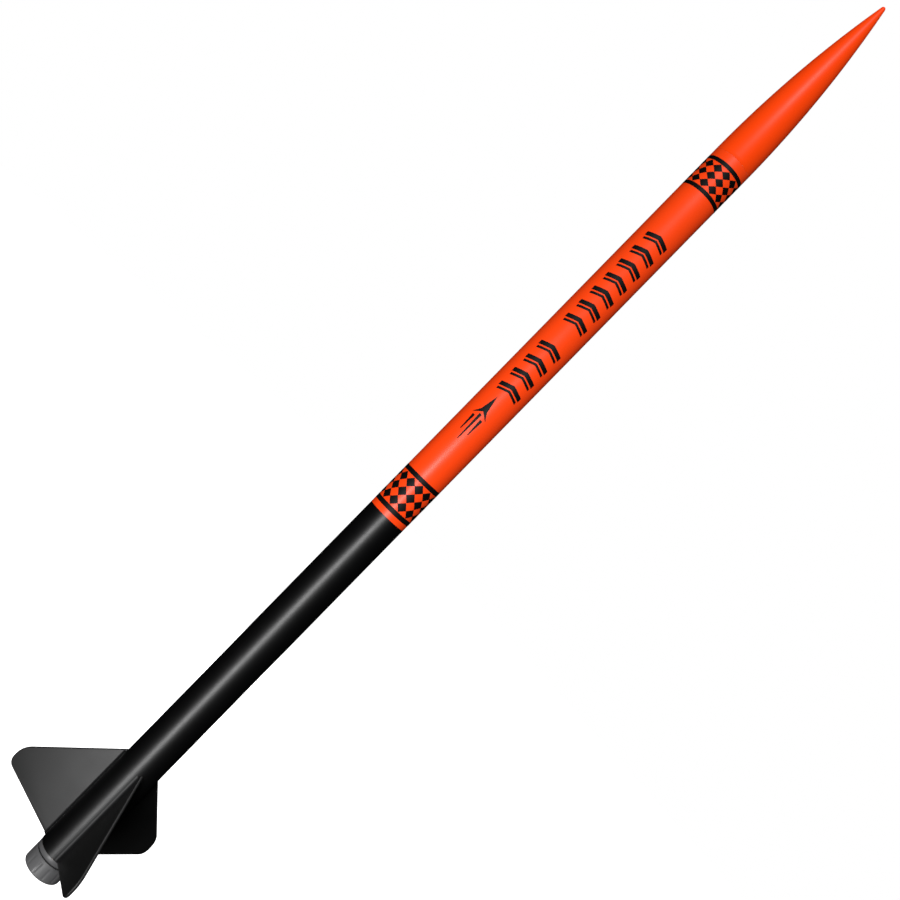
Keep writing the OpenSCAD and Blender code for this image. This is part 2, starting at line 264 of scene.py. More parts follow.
def build_spiral_group():
    """The groove between the turns of a paper strip wound into a tube."""
    group, given, result = new_group(
        "spiral_groove",
        [("Point", VECTOR, None), ("Pitch", FLOAT, 0.09), ("Width", FLOAT, 0.012)],
        [("Height", FLOAT)],
    )
    parts = put(group, "ShaderNodeSeparateXYZ", {0: given.outputs[0]})
    angle = math_node(group, "ARCTAN2", parts.outputs[1], parts.outputs[0])
    turns = math_node(group, "DIVIDE", angle, 2 * math.pi)
    climb = math_node(group, "DIVIDE", parts.outputs[2], given.outputs[1])
    phase = math_node(group, "FRACT", math_node(group, "ADD", math_node(group, "ADD", turns, climb), 10.0))
    away = math_node(group, "ABSOLUTE", math_node(group, "SUBTRACT", phase, 0.5))
    dip = spread(group, away, 0.0, given.outputs[2], 0.0, 1.0, interpolation_type="SMOOTHSTEP")
    group.links.new(dip, result.inputs[0])
    return group


def build_rub_group():
    """Patches near a height where handling has rubbed the surface."""
    group, given, result = new_group(
        "handling_rub",
        [("Point", VECTOR, None), ("Edge", FLOAT, 0.0), ("Reach", FLOAT, 0.003), ("Scale", FLOAT, 600.0)],
        [("Mask", FLOAT)],
    )
    parts = put(group, "ShaderNodeSeparateXYZ", {0: given.outputs[0]})
    away = math_node(group, "ABSOLUTE", math_node(group, "SUBTRACT", parts.outputs[2], given.outputs[1]))
    near = spread(group, away, 0.0, given.outputs[2], 1.0, 0.0)
    speck = noise(group, given.outputs[0], given.outputs[3], 5.0)
    worn = math_node(group, "MULTIPLY", near, speck)
    mask = spread(group, worn, 0.46, 0.54, 0.0, 1.0)
    group.links.new(mask, result.inputs[0])
    return group


def build_weave_group():
    """Over-and-under threads on a piece's own UV map, counted in threads per metre."""
    group, given, result = new_group(
        "thread_weave",
        [("Map", VECTOR, None), ("Across", FLOAT, 1400.0), ("Along", FLOAT, 1400.0)],
        [("Height", FLOAT)],
    )
    parts = put(group, "ShaderNodeSeparateXYZ", {0: given.outputs[0]})
    waves = []
    for k in range(2):
        threads = math_node(group, "MULTIPLY", parts.outputs[k], given.outputs[k + 1])
        half_turns = math_node(group, "MULTIPLY", threads, math.pi)
        waves.append(math_node(group, "ABSOLUTE", math_node(group, "SINE", half_turns)))
    height = math_node(group, "MULTIPLY", *waves)
    group.links.new(height, result.inputs[0])
    return group


SKIN, SPIRAL, RUB, WEAVE = build_skin_group(), build_spiral_group(), build_rub_group(), build_weave_group()
print("groups", [g.name for g in (SKIN, SPIRAL, RUB, WEAVE)])

# %% [markdown]
# ## Finishes
# A finish is one Principled shader with its plain values on its own sockets. Only what changes
# over the surface comes in by a link: roughness from the grain, a colour with rubbed patches,
# and a normal from one or two bumps.

# %% Material builder
def finish_with(name, color, smooth, rough, grain=900.0, grain_depth=0.00001, **plain):
    """A material with grain. Returns it with its tree, shader, point and bump for more layers."""
    made = bpy.data.materials.new(name)
    made.use_nodes = True
    tree = made.node_tree
    shader = tree.nodes["Principled BSDF"]
    shader.inputs["Base Color"].default_value = (*color, 1)
    for key, value in plain.items():
        shader.inputs[key.replace("_", " ")].default_value = value
    point = put(tree, "ShaderNodeTexCoord").outputs["Object"]
    skin = group_node(tree, SKIN, {"Point": point, "Scale": grain, "Smooth": smooth, "Rough": rough})
    bump = put(
        tree, "ShaderNodeBump",
        {"Height": skin.outputs["Height"], "Strength": 0.6, "Distance": grain_depth},
    )
    tree.links.new(skin.outputs["Roughness"], shader.inputs["Roughness"])
    tree.links.new(bump.outputs[0], shader.inputs["Normal"])
    return made, tree, shader, point, bump


def group_node(tree, group, inputs):
    return put(tree, "ShaderNodeGroup", inputs, node_tree=group)


def more_bump(tree, shader, bump, height, distance, strength=1.0):
    """Puts another bump after the last one."""
    made = put(
        tree, "ShaderNodeBump",
        {"Height": height, "Strength": strength, "Distance": distance, "Normal": bump.outputs[0]},
    )
    tree.links.new(made.outputs[0], shader.inputs["Normal"])


def blend_color(tree, shader, mask, color, under):
    """Lets another colour through where the mask is 1."""
    mix = put(tree, "ShaderNodeMix", data_type="RGBA")
    tree.links.new(mask, mix.inputs[0])
    mix.inputs[6].default_value = (*under, 1)
    mix.inputs[7].default_value = (*color, 1)
    tree.links.new(mix.outputs[2], shader.inputs["Base Color"])


# %% Paints
ORANGE = (0.91, 0.052, 0.0004)
BLACK = (0.0012, 0.0012, 0.0013)
FILM_BLACK = (0.0014, 0.0014, 0.0014)
BARE_PAPER = (0.50, 0.36, 0.22)


def tube_paint(name, color, edge):
    """Gloss paint on wound paper, rubbed to the paper at the tube's bare end."""
    made, tree, shader, point, bump = finish_with(name, color, 0.36, 0.40, Specular_IOR_Level=0.46)
    spiral = group_node(tree, SPIRAL, {"Point": point, "Pitch": 0.083, "Width": 0.009})
    more_bump(tree, shader, bump, spiral.outputs[0], 0.00004, 0.35)
    mask = group_node(tree, RUB, {"Point": point, "Edge": edge, "Reach": 0.0007}).outputs[0]
    blend_color(tree, shader, mask, BARE_PAPER, color)
    return made


orange_paint = tube_paint("orange_gloss_paint", ORANGE, SEAM_Z)
black_paint = tube_paint("black_gloss_paint", BLACK, AFT_Z)


def nose_paint():
    """Gloss paint over the faint parting line of the mould."""
    made, tree, shader, point, bump = finish_with(
        "nose_gloss_paint", ORANGE, 0.40, 0.46, grain=700.0, Specular_IOR_Level=0.16)
    parts = put(tree, "ShaderNodeSeparateXYZ", {0: point})
    away = math_node(tree, "ABSOLUTE", parts.outputs[1])
    line = spread(tree, away, 0.0, 0.0003, 1.0, 0.0, interpolation_type="SMOOTHSTEP")
    more_bump(tree, shader, bump, line, 0.00003, 0.5)
    return made


nose_orange = nose_paint()


def fin_paint():
    """Sealed and painted board: the grain shows as long low ripples."""
    made, tree, shader, point, bump = finish_with(
        "fin_black_paint", BLACK, 0.5, 0.55, Specular_IOR_Level=0.62)
    stretch = put(tree, "ShaderNodeMapping", {"Vector": point, "Scale": (1500.0, 1500.0, 60.0)})
    more_bump(tree, shader, bump, noise(tree, stretch.outputs[0], 1.0, 4.0), 0.00002, 0.5)
    return made


fin_black = fin_paint()
band_black = finish_with("band_black_film", FILM_BLACK, 0.5, 0.58, grain=1500.0, Specular_IOR_Level=0.2)[0]
mark_black = finish_with("mark_black_film", FILM_BLACK, 0.48, 0.56, grain=1500.0, Specular_IOR_Level=0.25)[0]
print("paints", [m.name for m in (orange_paint, black_paint, nose_orange, fin_black)])

# %% Plastics, papers and the rest
def moulded(name, color):
    """Fine-grained moulded plastic."""
    return finish_with(name, color, 0.34, 0.5, grain=2600.0, grain_depth=0.00003)[0]


def wound_paper(name, color, pitch):
    """Bare paper wound in a spiral, with its fibres."""
    made, tree, shader, point, bump = finish_with(name, color, 0.7, 0.9, grain=1800.0, grain_depth=0.00005)
    spiral = group_node(tree, SPIRAL, {"Point": point, "Pitch": pitch, "Width": 0.02})
    more_bump(tree, shader, bump, spiral.outputs[0], 0.00008, 0.6)
    dark, pale = tuple(c * 0.7 for c in color), tuple(min(1, c * 1.2) for c in color)
    blend_color(tree, shader, noise(tree, point, 420.0, 6.0), dark, pale)
    return made


def speckled(name, color, dark, scale):
    """Rough stuff with darker specks."""
    made, tree, shader, point, bump = finish_with(name, color, 0.75, 0.95, grain=scale, grain_depth=0.00008)
    spots = noise(tree, point, scale * 0.5, 5.0)
    blend_color(tree, shader, spread(tree, spots, 0.35, 0.65, 0.0, 1.0), dark, color)
    return made


collar_grey = moulded("collar_grey_plastic", (0.075, 0.075, 0.077))
cap_grey = moulded("cap_grey_plastic", (0.085, 0.085, 0.087))
kraft = wound_paper("kraft_tube", (0.45, 0.30, 0.17), 0.06)
motor_wrap = wound_paper("motor_wrap", (0.30, 0.12, 0.05), 0.05)
board = speckled("laser_cut_board", (0.55, 0.40, 0.24), (0.38, 0.26, 0.14), 900.0)
clay = speckled("pressed_clay", (0.44, 0.42, 0.38), (0.30, 0.28, 0.25), 1400.0)
grain_black = speckled("pressed_propellant", (0.03, 0.03, 0.03), (0.012, 0.012, 0.012), 1600.0)
delay_grey = speckled("pressed_delay", (0.30, 0.28, 0.26), (0.20, 0.19, 0.17), 1600.0)
anchor_paper = speckled("anchor_paper", (0.82, 0.76, 0.62), (0.72, 0.65, 0.50), 700.0)
tissue = speckled("recovery_tissue", (0.62, 0.72, 0.58), (0.50, 0.62, 0.46), 500.0)


def woven(name, color, across_count, along_count, depth):
    """Woven or braided threads, with painted shade where they dip."""
    made, tree, shader, point, bump = finish_with(name, color, 0.65, 0.85, grain=3000.0)
    uv = put(tree, "ShaderNodeUVMap", uv_map="weave")
    weave = group_node(tree, WEAVE, {"Map": uv.outputs[0], "Across": across_count, "Along": along_count})
    more_bump(tree, shader, bump, weave.outputs[0], depth)
    # Painted shade: the colour falls to 0.55 of itself in the dips between the threads.
    blend_color(tree, shader, weave.outputs[0], color, tuple(c * 0.55 for c in color))
    shader.inputs["Sheen Weight"].default_value = 0.25
    return made


elastic = woven("woven_elastic", (0.86, 0.83, 0.74), 1400.0, 1400.0, 0.0002)
thread = woven("braided_thread", (0.85, 0.85, 0.82), 2600.0, 1800.0, 0.0001)
canopy_film = finish_with("canopy_film", (0.90, 0.30, 0.03), 0.28, 0.5, grain=300.0, grain_depth=0.00006)[0]
print("materials", len(bpy.data.materials))

# %% [markdown]
# ## Tubes
# A body tube is a strip of paper wound on a mandrel. A lathe is the natural tool: one outline,
# turned round the axis. The outline goes up the outside and back down the inside, so the wall
# has its true thickness at both cut ends.

# %% Lathe
ROUND = 160


def link_mesh(name, mesh, materials):
    made = bpy.data.objects.new(name, mesh)
    scene.collection.objects.link(made)
    for material in materials:
        mesh.materials.append(material)
    return made


def smooth_faces(mesh, sharp_degrees=32):
    mesh.polygons.foreach_set("use_smooth", [True] * len(mesh.polygons))
    mesh.set_sharp_from_angle(angle=math.radians(sharp_degrees))


def lathe_faces(bm, outline, steps=ROUND, closed=True, bend=None):
    """Turns an outline of (radius, height) round Z. bend(radius, height, angle) may move a point."""
    rings = []
    for radius, height in outline:
        if radius < 1e-7:
            rings.append([bm.verts.new((0, 0, height))])
            continue
        ring = []
        for i in range(steps):
            angle = 2 * math.pi * i / steps
            r = bend(radius, height, angle) if bend else radius
            ring.append(bm.verts.new((r * math.cos(angle), r * math.sin(angle), height)))
        rings.append(ring)
    for first, second in zip(rings, rings[1:] + rings[:1] if closed else rings[1:]):
        one, two = len(first), len(second)
        for i in range(steps):
            j = (i + 1) % steps
            corners = dict.fromkeys((first[i % one], first[j % one], second[j % two], second[i % two]))
            if len(corners) > 2:
                bm.faces.new(list(corners))


def skin_rings(bm, rings):
    """Closes a row of equal rings into a solid: a face between each pair of points, and two caps."""
    count = len(rings[0])
    for first, second in zip(rings, rings[1:]):
        for k in range(count):
            j = (k + 1) % count
            bm.faces.new((first[k], first[j], second[j], second[k]))
    bm.faces.new(rings[0])
    bm.faces.new(rings[-1])


def finish_mesh(bm, name, materials, sharp_degrees=32):
    """Points the faces outwards and makes the object."""
    bmesh.ops.recalc_face_normals(bm, faces=bm.faces)
    mesh = bpy.data.meshes.new(name)
    bm.to_mesh(mesh)
    bm.free()
    smooth_faces(mesh, sharp_degrees)
    return link_mesh(name, mesh, materials)


def lathe(name, outline, materials, steps=ROUND, closed=True, bend=None, sharp_degrees=32):
    bm = bmesh.new()
    lathe_faces(bm, outline, steps, closed, bend)
    return finish_mesh(bm, name, materials, sharp_degrees)


def stand_for(piece, body, slot, *replaced):
    """The piece rides a body and stands for CAD nodes, which it hides. slot is not used."""
    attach(piece, body)
    if replaced:
        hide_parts(*replaced)
    print(piece.name, "on", body, len(piece.data.polygons), "faces")


# %% Tube outlines
EASE = 0.12 * MM


def wall_outline(r_out, r_in, z0, z1, levels=()):
    """Up the outside, over the rounded rim, down the inside. levels adds rings on the outside."""
    outside = [(r_out, z0 + EASE), *[(r_out, z) for z in levels], (r_out, z1 - EASE)]
    return [(r_out - EASE, z0), *outside, (r_out - EASE, z1), (r_in, z1), (r_in, z0)]


def paint_above(piece, height, index):
    """Gives faces above a height another of the piece's materials."""
    for face in piece.data.polygons:
        if face.center.z > height:
            face.material_index = index


# %% Aft tube with its slots
PAINT_Z = low("lower_band_decal").z - 6 * MM
SLOT_Z = (35 * MM, 129 * MM)
fin_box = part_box("fin_1")
SLOT_W = (fin_box[1].x - fin_box[0].x) + 0.2 * MM
TUBE_IN_R = half_width("tube_coupler") + 0.05 * MM
FIN_ANGLES = [math.radians(90 + 120 * k) for k in range(3)]


def cut_slots(piece):
    """Cuts a slot through the wall for each fin's tab."""
    bm = bmesh.new()
    for angle in FIN_ANGLES:
        block = bmesh.ops.create_cube(bm, size=1.0)["verts"]
        bmesh.ops.scale(bm, verts=block, vec=(10 * MM, SLOT_W, SLOT_Z[1] - SLOT_Z[0]))
        bmesh.ops.translate(bm, verts=block, vec=(TUBE_R, 0, sum(SLOT_Z) / 2))
        bmesh.ops.rotate(bm, verts=block, matrix=Matrix.Rotation(angle, 3, "Z"))
    cutter_mesh = bpy.data.meshes.new("slot_cutter")
    bm.to_mesh(cutter_mesh)
    bm.free()
    cutter = bpy.data.objects.new("slot_cutter", cutter_mesh)
    scene.collection.objects.link(cutter)
    step = piece.modifiers.new("slots", "BOOLEAN")
    step.object, step.operation, step.solver = cutter, "DIFFERENCE", "EXACT"
    keep_shape(piece)
    bpy.data.objects.remove(cutter)


def keep_shape(piece):
    """Turns what the modifiers make into the piece's own plain mesh."""
    bpy.context.view_layer.update()
    seen = piece.evaluated_get(bpy.context.evaluated_depsgraph_get())
    mesh = bpy.data.meshes.new_from_object(seen)
    piece.modifiers.clear()
    piece.data = mesh


aft_tube = lathe(
    "aft_tube",
    wall_outline(TUBE_R, TUBE_IN_R, AFT_Z, JOINT_Z, [PAINT_Z]),
    [black_paint, orange_paint, kraft],
)
cut_slots(aft_tube)
paint_above(aft_tube, PAINT_Z, 1)


def line_inside(piece, index):
    """The inner wall is bare paper."""
    for face in piece.data.polygons:
        middle_r = math.hypot(face.center.x, face.center.y)
        if middle_r < TUBE_R - TUBE_WALL * 0.6 and abs(face.normal.z) < 0.5:
            face.material_index = index


line_inside(aft_tube, 2)
smooth_faces(aft_tube.data)
stand_for(aft_tube, "airframe", "black_paint", "lower_body_tube")

forward_tube = lathe(
    "forward_tube",
    wall_outline(TUBE_R, TUBE_IN_R, low("upper_body_tube").z, SEAM_Z),
    [orange_paint, kraft],
)
line_inside(forward_tube, 1)
stand_for(forward_tube, "airframe", "orange_paint", "upper_body_tube")

# %% [markdown]
# ## Nose cone
# The nose is blow-moulded: a thin shell that follows a tangent ogive, which is an arc of a
# circle that meets the tube without a corner. The same lathe turns it, from the tip over the
# shoulder and back up the inside.

# %% Nose cone
OGIVE_EXTRA, TIP_DOME = 10 * MM, 2.8 * MM
NOSE_WALL = 1.3 * MM
SHOULDER_R = TUBE_IN_R - 0.15 * MM
SHOULDER_Z = low("nose_cone").z
NOSE_LEN = TIP_Z - SEAM_Z


def ogive(height, base, full):
    """Radius at a height of an arc that is base wide at its foot and would close at full."""
    rho = (base * base + full * full) / (2 * base)
    return math.sqrt(rho * rho - height * height) + base - rho


def nose_outline():
    full = NOSE_LEN + OGIVE_EXTRA
    tip_start = NOSE_LEN - TIP_DOME
    tip_r = ogive(tip_start, TUBE_R, full)
    steps = 56
    rises = [tip_start * i / steps for i in range(1, steps + 1)]
    outer = [(ogive(rise, TUBE_R, full), SEAM_Z + rise) for rise in rises]
    bends = [math.pi / 2 * i / 8 for i in range(1, 8)]
    dome = [(tip_r * math.cos(a), SEAM_Z + tip_start + TIP_DOME * math.sin(a)) for a in bends]
    inner_r = SHOULDER_R - NOSE_WALL
    depths = [NOSE_LEN * 0.9 * i / 24 for i in range(24, -1, -1)]
    inner = [(ogive(depth, inner_r, full * 0.97), SEAM_Z + depth) for depth in depths]
    rim = 0.35 * MM
    lead = 1.2 * MM
    shoulder = [
        (inner_r, SHOULDER_Z),
        (SHOULDER_R - lead * 0.6, SHOULDER_Z),
        (SHOULDER_R - 0.2 * MM, SHOULDER_Z + lead * 0.6),
        (SHOULDER_R, SHOULDER_Z + lead * 1.4),
        (SHOULDER_R, SEAM_Z - 0.8 * MM),
        (SHOULDER_R, SEAM_Z + 0.02 * MM),
        (TUBE_R - rim, SEAM_Z + 0.02 * MM),
        (TUBE_R - rim * 0.3, SEAM_Z + rim * 0.3),
        (TUBE_R, SEAM_Z + rim),
    ]
    return shoulder + outer + dome + [(0, TIP_Z)] + [(0, SEAM_Z + NOSE_LEN * 0.9)] + inner


nose_shell = lathe("nose_shell", nose_outline(), [nose_orange], steps=192)
stand_for(nose_shell, "nose", "nose_plastic", "nose_cone")

# %% Base plug and its loop
PLUG_FLOOR, PLUG_TALL, PLUG_WALL = 2.4 * MM, 6.4 * MM, 1.5 * MM
LOOP_R, LOOP_WIRE = 6 * MM, 1.5 * MM
LOOP_Z = SHOULDER_Z + PLUG_FLOOR - LOOP_R
LOOP_LOW = LOOP_Z - LOOP_R - LOOP_WIRE
LOOP_ARM = SHOULDER_Z + 1 * MM - LOOP_Z


def base_plug_outline():
    """A cup: a floor with an eased edge, and a low wall round it."""
    wall_r, z0, ease = half_width("nose_base_plug"), SHOULDER_Z, 0.6 * MM
    return [
        (0, z0), (wall_r - ease, z0), (wall_r, z0 + ease), (wall_r, z0 + PLUG_TALL),
        (wall_r - PLUG_WALL, z0 + PLUG_TALL), (wall_r - PLUG_WALL, z0 + PLUG_FLOOR), (0, z0 + PLUG_FLOOR),
    ]


def loop_spots():
    """Angle and lift of each ring along the loop: down one arm, round, and up the other."""
    around = 24
    bottom = [(math.pi * (1 + i / around), 0) for i in range(around + 1)]
    down = [(math.pi, LOOP_ARM), (math.pi, LOOP_ARM / 2)]
    return down + bottom + [(2 * math.pi, LOOP_ARM / 2), (2 * math.pi, LOOP_ARM)]


def base_plug():
    """The cup with a moulded loop on its underside, which thickens where it joins."""
    bm = bmesh.new()
    lathe_faces(bm, base_plug_outline(), steps=96, closed=False)
    sides, rings = 12, []
    for turn, lift in loop_spots():
        wire = LOOP_WIRE * (1 + 0.35 * lift / LOOP_ARM)
        ring = []
        for k in range(sides):
            t = 2 * math.pi * k / sides
            reach = LOOP_R + wire * math.cos(t)
            place = (reach * math.cos(turn), wire * math.sin(t), LOOP_Z + lift + reach * math.sin(turn))
            ring.append(bm.verts.new(place))
        rings.append(ring)
    skin_rings(bm, rings)
    return finish_mesh(bm, "nose_plug", [nose_orange])


nose_plug = base_plug()
stand_for(nose_plug, "nose", "nose_plastic", "nose_base_plug")

# %% [markdown]
# ## Fins
# Each fin is one board that runs through a slot in the tube and is glued to the motor tube. The
# frame holds its exact outline, so the board starts as a merged copy of the frame's mesh, and
# then its outer edges are rounded, as sanding does.

# %% Fins
EDGE_ROUND = 0.95 * MM


def merged_copy(node, flat_degrees=1.0):
    """A clean copy of a CAD node: doubles merged and flat faces joined."""
    bm = bmesh.new()
    bm.from_mesh(nodes[node].data)
    bmesh.ops.remove_doubles(bm, verts=bm.verts, dist=0.002 * MM)
    bmesh.ops.dissolve_limit(bm, angle_limit=math.radians(flat_degrees), verts=bm.verts, edges=bm.edges)
    return bm


def fin_board(k):
    node = f"fin_{k + 1}"
    bm = merged_copy(node)
    outer = [
        e for e in bm.edges
        if all(math.hypot(v.co.x, v.co.y) > TUBE_R + 0.03 * MM for v in e.verts)
        and len(e.link_faces) == 2
        and e.calc_face_angle(0) > math.radians(60)
    ]
    bmesh.ops.bevel(
        bm, geom=outer, offset=EDGE_ROUND, segments=4, profile=0.5, affect="EDGES", clamp_overlap=True)
    made = finish_mesh(bm, f"fin_board_{k + 1}", [fin_black], sharp_degrees=40)
    stand_for(made, "airframe", "fin_paint", node)


for k in range(3):
    fin_board(k)

# %% Glue fillets
fillets = finish_mesh(merged_copy("fin_fillets", 0.05), "root_fillets", [fin_black], sharp_degrees=50)
stand_for(fillets, "airframe", "fillet_glue", "fin_fillets")

# %% [markdown]
# ## Launch lugs
# A lug is a short paper tube glued to the body on a bead of glue. Both lie on one line, so that
# the launch rod slides through them.

# %% Launch lugs
LUG_WALL = 0.5 * MM


def launch_lug(name, node, paint, slot_name):
    """A tube with eased rims, and a bead of glue down each side of the line where it touches."""
    lo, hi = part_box(node)
    centre = (lo + hi) / 2
    r_out = (hi.x - lo.x) / 2
    bm = bmesh.new()
    lathe_faces(bm, wall_outline(r_out, r_out - LUG_WALL, lo.z, hi.z), steps=64)
    heading = math.atan2(centre.y, centre.x)
    seat = TUBE_R + 0.01 * MM - centre.xy.length
    steps = 10
    for side in (-1, 1):
        rows = []
        for t in range(steps + 1):
            z = lo.z + 1 * MM + (hi.z - lo.z - 2 * MM) * t / steps
            taper = 0.35 if t in (0, steps) else 1.0
            depth = (TUBE_R + 1.5 * MM * taper) - centre.xy.length
            profile = [
                (seat, 0.3 * MM),
                (seat - 0.05 * MM, 2.6 * MM * taper),
                ((seat + depth) / 2, 1.9 * MM * taper - 0.2 * MM),
                (depth, math.sqrt(max(r_out**2 - depth**2, 0)) + 0.02 * MM),
            ]
            rows.append([bm.verts.new((x, side * y, z)) for x, y in profile])
        skin_rings(bm, rows)
    for v in bm.verts:
        local = Vector((v.co.x, v.co.y))
        local.rotate(Matrix.Rotation(heading, 2))
        v.co.x, v.co.y = centre.x + local.x, centre.y + local.y
    made = finish_mesh(bm, name, [paint])
    stand_for(made, "airframe", slot_name, node)


launch_lug("aft_lug", "lower_launch_lug", black_paint, "black_paint")
launch_lug("forward_lug", "upper_launch_lug", orange_paint, "orange_paint")

# %% [markdown]
# ## Checked bands and side marks
# The bands are printed film: two lines, and between them a checkerboard turned on its corner.
# A pattern like this is one small shape repeated by rule, which is what Geometry Nodes do. The
# tree lays out a grid of points in a flat strip, puts a diamond on each, joins them into real
# mesh and then wraps the strip round the tube.

# %% Geometry node helpers
KINDS = {int: "NodeSocketInt", float: "NodeSocketFloat", type(None): "NodeSocketObject"}


def new_tree(name, inputs):
    """An empty tree with a socket for each input, whose kind follows from its first value."""
    group = bpy.data.node_groups.new(name, "GeometryNodeTree")
    group.interface.new_socket("Geometry", in_out="OUTPUT", socket_type="NodeSocketGeometry")
    for title, value in inputs.items():
        socket = group.interface.new_socket(title, in_out="INPUT", socket_type=KINDS[type(value)])
        if value is not None:
            socket.default_value = value
    return group, group.nodes.new("NodeGroupInput").outputs, group.nodes.new("NodeGroupOutput").inputs


def vector_of(tree, x, y, z):
    return put(tree, "ShaderNodeCombineXYZ", {0: x, 1: y, 2: z}).outputs[0]


def wrap_round(tree, geometry, given):
    """Bends a flat strip, where x is the angle and y the height, round the tube's axis."""
    place = put(tree, "GeometryNodeInputPosition")
    parts = put(tree, "ShaderNodeSeparateXYZ", {0: place.outputs[0]})
    turned = math_node(tree, "ADD", parts.outputs[0], given["Angle"])
    reach_r = math_node(tree, "ADD", parts.outputs[2], given["Radius"])
    x = math_node(tree, "MULTIPLY", math_node(tree, "COSINE", turned), reach_r)
    y = math_node(tree, "MULTIPLY", math_node(tree, "SINE", turned), reach_r)
    z = math_node(tree, "ADD", parts.outputs[1], given["Base"])
    moved = {"Geometry": geometry, "Position": vector_of(tree, x, y, z)}
    return put(tree, "GeometryNodeSetPosition", moved).outputs[0]


def grown(name, tree, material, values):
    """Runs a tree on an empty object and keeps the result as a plain mesh."""
    carrier = bpy.data.objects.new(name, bpy.data.meshes.new(name))
    scene.collection.objects.link(carrier)
    step = carrier.modifiers.new("grow", "NODES")
    step.node_group = tree
    named = {socket.name: socket.identifier for socket in tree.interface.items_tree}
    for title, value in values.items():
        step[named[title]] = value
    keep_shape(carrier)
    mesh = carrier.data
    mesh.name = name
    mesh.materials.clear()
    mesh.materials.append(material)
    mesh.polygons.foreach_set("material_index", [0] * len(mesh.polygons))
    return carrier


FILM_R = TUBE_R + 0.015 * MM
FILM = 0.055 * MM


def film_wall(piece):
    """Gives a film its thickness, outwards."""
    thick = piece.modifiers.new("film", "SOLIDIFY")
    thick.thickness = FILM
    thick.offset = 1.0
    keep_shape(piece)


# %% Checked band
TILE_CUTS = 13


def diamond_tree():
    """A grid of tiles, each turned on its corner, wrapped round the tube."""
    tree, given, result = new_tree("checked_band", {
        "Radius": FILM_R, "Count": 12, "Columns": 3, "Pitch": 0.01, "Angle": 0.0, "Base": 0.0})
    step = math_node(tree, "DIVIDE", 2 * math.pi, given["Count"])
    wide = math_node(tree, "MULTIPLY", step, math_node(tree, "SUBTRACT", given["Count"], 1.0))
    tall = math_node(tree, "MULTIPLY", given["Pitch"], math_node(tree, "SUBTRACT", given["Columns"], 1.0))
    layout = put(tree, "GeometryNodeMeshGrid", {
        "Size X": wide, "Size Y": tall, "Vertices X": given["Count"], "Vertices Y": given["Columns"]})
    side = math.sqrt(0.5)
    tile = put(tree, "GeometryNodeMeshGrid", {
        "Size X": side, "Size Y": side, "Vertices X": TILE_CUTS, "Vertices Y": TILE_CUTS})
    turned = put(tree, "GeometryNodeTransform", {
        "Geometry": tile.outputs[0], "Rotation": (0, 0, math.pi / 4)})
    sized = put(tree, "GeometryNodeTransform", {
        "Geometry": turned.outputs[0], "Scale": vector_of(tree, step, given["Pitch"], 1.0)})
    tiles = put(tree, "GeometryNodeInstanceOnPoints", {
        "Points": layout.outputs[0], "Instance": sized.outputs[0]})
    solid = put(tree, "GeometryNodeRealizeInstances", {"Geometry": tiles.outputs[0]})
    tree.links.new(wrap_round(tree, solid.outputs[0], given), result[0])
    return tree


DIAMONDS = diamond_tree()
ORANGE_ROW = math.radians(307.5)


def join_into(main, others):
    """Adds other objects' meshes to the first and removes them."""
    bm = bmesh.new()
    bm.from_mesh(main.data)
    for other in others:
        bm.from_mesh(other.data)
        bpy.data.objects.remove(other)
    bm.to_mesh(main.data)
    bm.free()


def checked_band(name, node, line_w):
    """Two black lines, and three columns of twelve diamonds between them."""
    z0, z1 = low(node).z, high(node).z
    pitch = (z1 - z0 - 2 * line_w) / 3
    diamonds = grown(name, DIAMONDS, band_black, {
        "Pitch": pitch * 0.985, "Angle": ORANGE_ROW, "Base": (z0 + z1) / 2})
    film_wall(diamonds)
    out_r = FILM_R + FILM
    lines = [
        lathe(f"{name}_line_{i}", [(FILM_R, a), (out_r, a), (out_r, b), (FILM_R, b)], [band_black])
        for i, (a, b) in enumerate(((z0, z0 + line_w), (z1 - line_w, z1)))
    ]
    join_into(diamonds, lines)
    smooth_faces(diamonds.data)
    stand_for(diamonds, "airframe", "band_film", node)


checked_band("nose_band", "upper_band_decal", 4.2 * MM)
checked_band("joint_band", "lower_band_decal", 4.8 * MM)

# %% [markdown]
# ## Side marks
# The long row on the forward tube is film as well: double chevrons in two groups that point to
# the nose, and a dart with speed lines below them. Each mark is drawn flat, where x is an angle
# and y a height. One tree repeats a mark down the tube and wraps it, just as the bands were.

# %% One mark, drawn flat
MARK_ANGLE, DART_ANGLE = math.radians(312), math.radians(299)
MARK_HALF, DART_HALF, DART_LEN = math.radians(37), math.radians(24), 54 * MM
MARK_LEN = 12.6 * MM
MARK_PITCH = 17.8 * MM
FRONT_BAR, REAR_BAR, BAR_GAP = 4.6 * MM, 2.6 * MM, 1.4 * MM


def chevron(top, thick, arm, half):
    """A chevron that points up: its two arms fall by arm from its top."""
    return [
        (-half, top - thick - arm), (-half, top - arm), (0, top),
        (half, top - arm), (half, top - thick - arm), (0, top - thick),
    ]


def flat_shape(name, outlines, strips):
    """Flat patches cut into narrow strips, so that they can bend round the tube."""
    bm = bmesh.new()
    for outline in outlines:
        bm.faces.new([bm.verts.new((x, y, 0)) for x, y in outline])
    widest = max(abs(x) for outline in outlines for x, y in outline)
    for i in range(1, strips):
        everything = bm.verts[:] + bm.edges[:] + bm.faces[:]
        cut = Vector((widest * (2 * i / strips - 1), 0, 0))
        bmesh.ops.bisect_plane(bm, geom=everything, plane_co=cut, plane_no=(1, 0, 0))
    bm.normal_update()
    for face in bm.faces:
        if face.normal.z < 0:
            face.normal_flip()
    mesh = bpy.data.meshes.new(name)
    bm.to_mesh(mesh)
    bm.free()
    return link_mesh(name, mesh, [])


